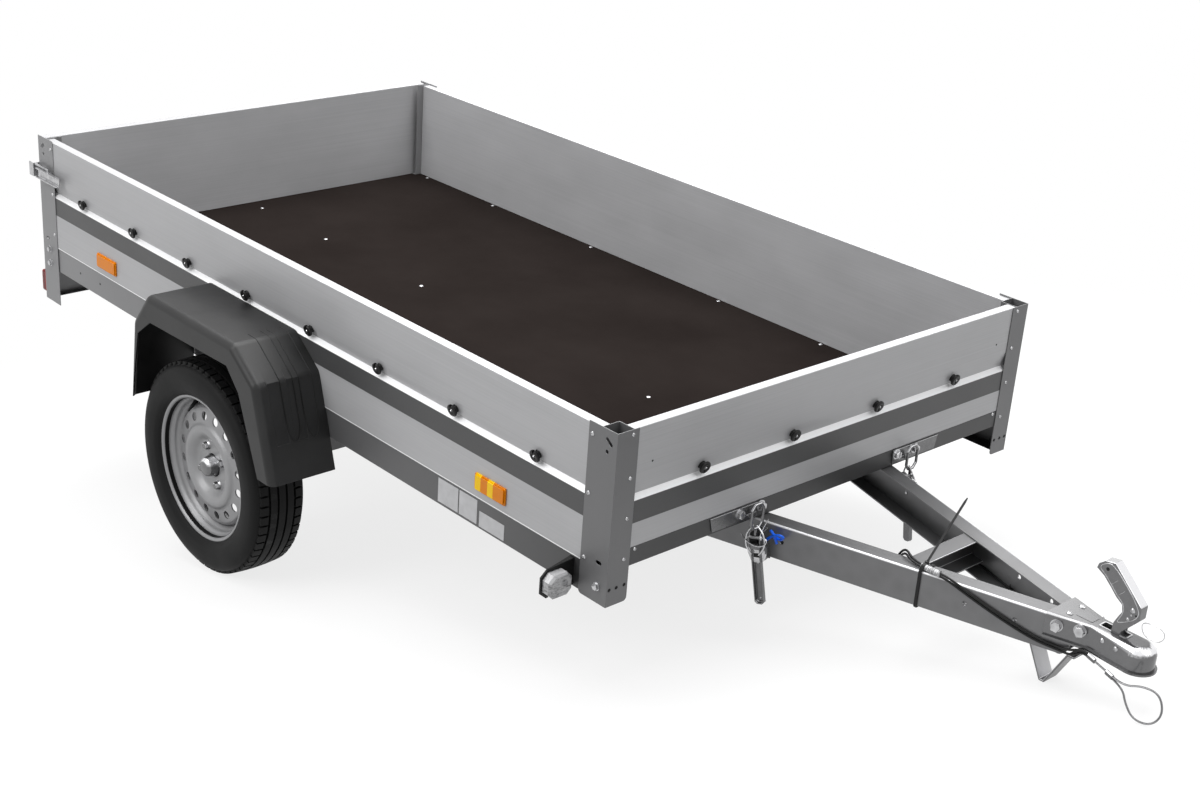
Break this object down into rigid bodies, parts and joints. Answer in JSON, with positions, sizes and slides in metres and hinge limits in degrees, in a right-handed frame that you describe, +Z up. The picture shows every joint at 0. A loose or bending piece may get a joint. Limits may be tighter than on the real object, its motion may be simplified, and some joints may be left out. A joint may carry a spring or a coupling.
{
  "type": "utility trailer",
  "caption": "Single-axle utility trailer: an open load box with a fold-down tailgate that tips on its V-shaped drawbar with a ball coupling.",
  "frame": {"origin": "on the ground, under the middle of the trailer's outline", "axes": "+X forward to the coupling, +Y to the trailer's left, +Z up; the trailer is pitched nose down onto its stand foot"},
  "size_m": [3.2176, 1.644, 0.9903],
  "materials": {
    "amber_lens": "ribbed amber",
    "black_plastic": "satin moulded plastic",
    "black_rubber": "matt moulded",
    "bright_zinc": "bright zinc plating",
    "clear_lens": "clear, faceted",
    "film_plywood": "film-faced plywood",
    "galvanised_steel": "galvanised",
    "panel_sheet": "zinc-coated sheet with a dark stripe",
    "red_lens": "ribbed red",
    "tyre_rubber": "moulded rubber",
    "wheel_silver": "silver paint",
    "wire_rope": "twisted wire"
  },
  "bodies": {
    "drawbar": {"box_buffers": "black_rubber", "coupling_handle": "bright_zinc", "coupling_head": "bright_zinc", "drawbar_arm_left": "galvanised_steel", "drawbar_arm_right": "galvanised_steel", "drawbar_brace": "galvanised_steel", "latch_bases": "bright_zinc", "latch_levers": "bright_zinc", "latch_rings": "bright_zinc", "rope_sleeve_front": "bright_zinc", "rope_sleeve_rear": "bright_zinc", "safety_cable": "black_rubber", "safety_rope": "wire_rope", "stand_foot": "galvanised_steel"},
    "load_box": {"axle_beam": "galvanised_steel", "axle_brackets": "galvanised_steel", "floor": "film_plywood", "floor_bearers": "galvanised_steel", "front_crossmember": "galvanised_steel", "front_panel": "panel_sheet", "front_post_left": "galvanised_steel", "front_post_right": "galvanised_steel", "hinge_seats": "bright_zinc", "latch_brackets": "bright_zinc", "marker_lamp_arms": "black_rubber", "marker_lamps": "clear_lens", "mudguard_left": "black_plastic", "mudguard_right": "black_plastic", "pivot_pins": "bright_zinc", "pivot_plates": "galvanised_steel", "rear_lamp_board": "galvanised_steel", "rear_lamps": "red_lens", "rear_post_left": "galvanised_steel", "rear_post_right": "galvanised_steel", "reflectors": "amber_lens", "side_frame_left": "galvanised_steel", "side_frame_right": "galvanised_steel", "side_panel_left": "panel_sheet", "side_panel_right": "panel_sheet", "swing_arm_left": "galvanised_steel", "swing_arm_right": "galvanised_steel", "tailgate_latches": "bright_zinc", "tarp_buttons_front": "black_rubber", "tarp_buttons_side": "black_rubber"},
    "tailgate": {"tailgate_catches": "bright_zinc", "tailgate_hinges": "bright_zinc", "tailgate_panel": "panel_sheet"},
    "wheel_right": {"hub_right": "wheel_silver", "rim_right": "wheel_silver", "tyre_right": "tyre_rubber"},
    "wheel_left": {"hub_left": "wheel_silver", "rim_left": "wheel_silver", "tyre_left": "tyre_rubber"}
  },
  "joints": [
    {"name": "box_tip", "type": "hinge", "parent": "drawbar", "child": "load_box", "pos_m": [-0.37495, 0, 0.44149], "axis": [0, -1, 0], "range_deg": [0, 16]},
    {"name": "tailgate_swing", "type": "hinge", "parent": "load_box", "child": "tailgate", "pos_m": [-1.52588, 0, 0.69074], "axis": [0, -1, 0], "range_deg": [0, 150]},
    {"name": "wheel_right_spin", "type": "hinge", "parent": "load_box", "child": "wheel_right", "pos_m": [-0.51422, -0.737, 0.2665], "axis": [0, 1, 0], "continuous": true},
    {"name": "wheel_left_spin", "type": "hinge", "parent": "load_box", "child": "wheel_left", "pos_m": [-0.51422, 0.737, 0.2665], "axis": [0, 1, 0], "continuous": true}
  ]
}
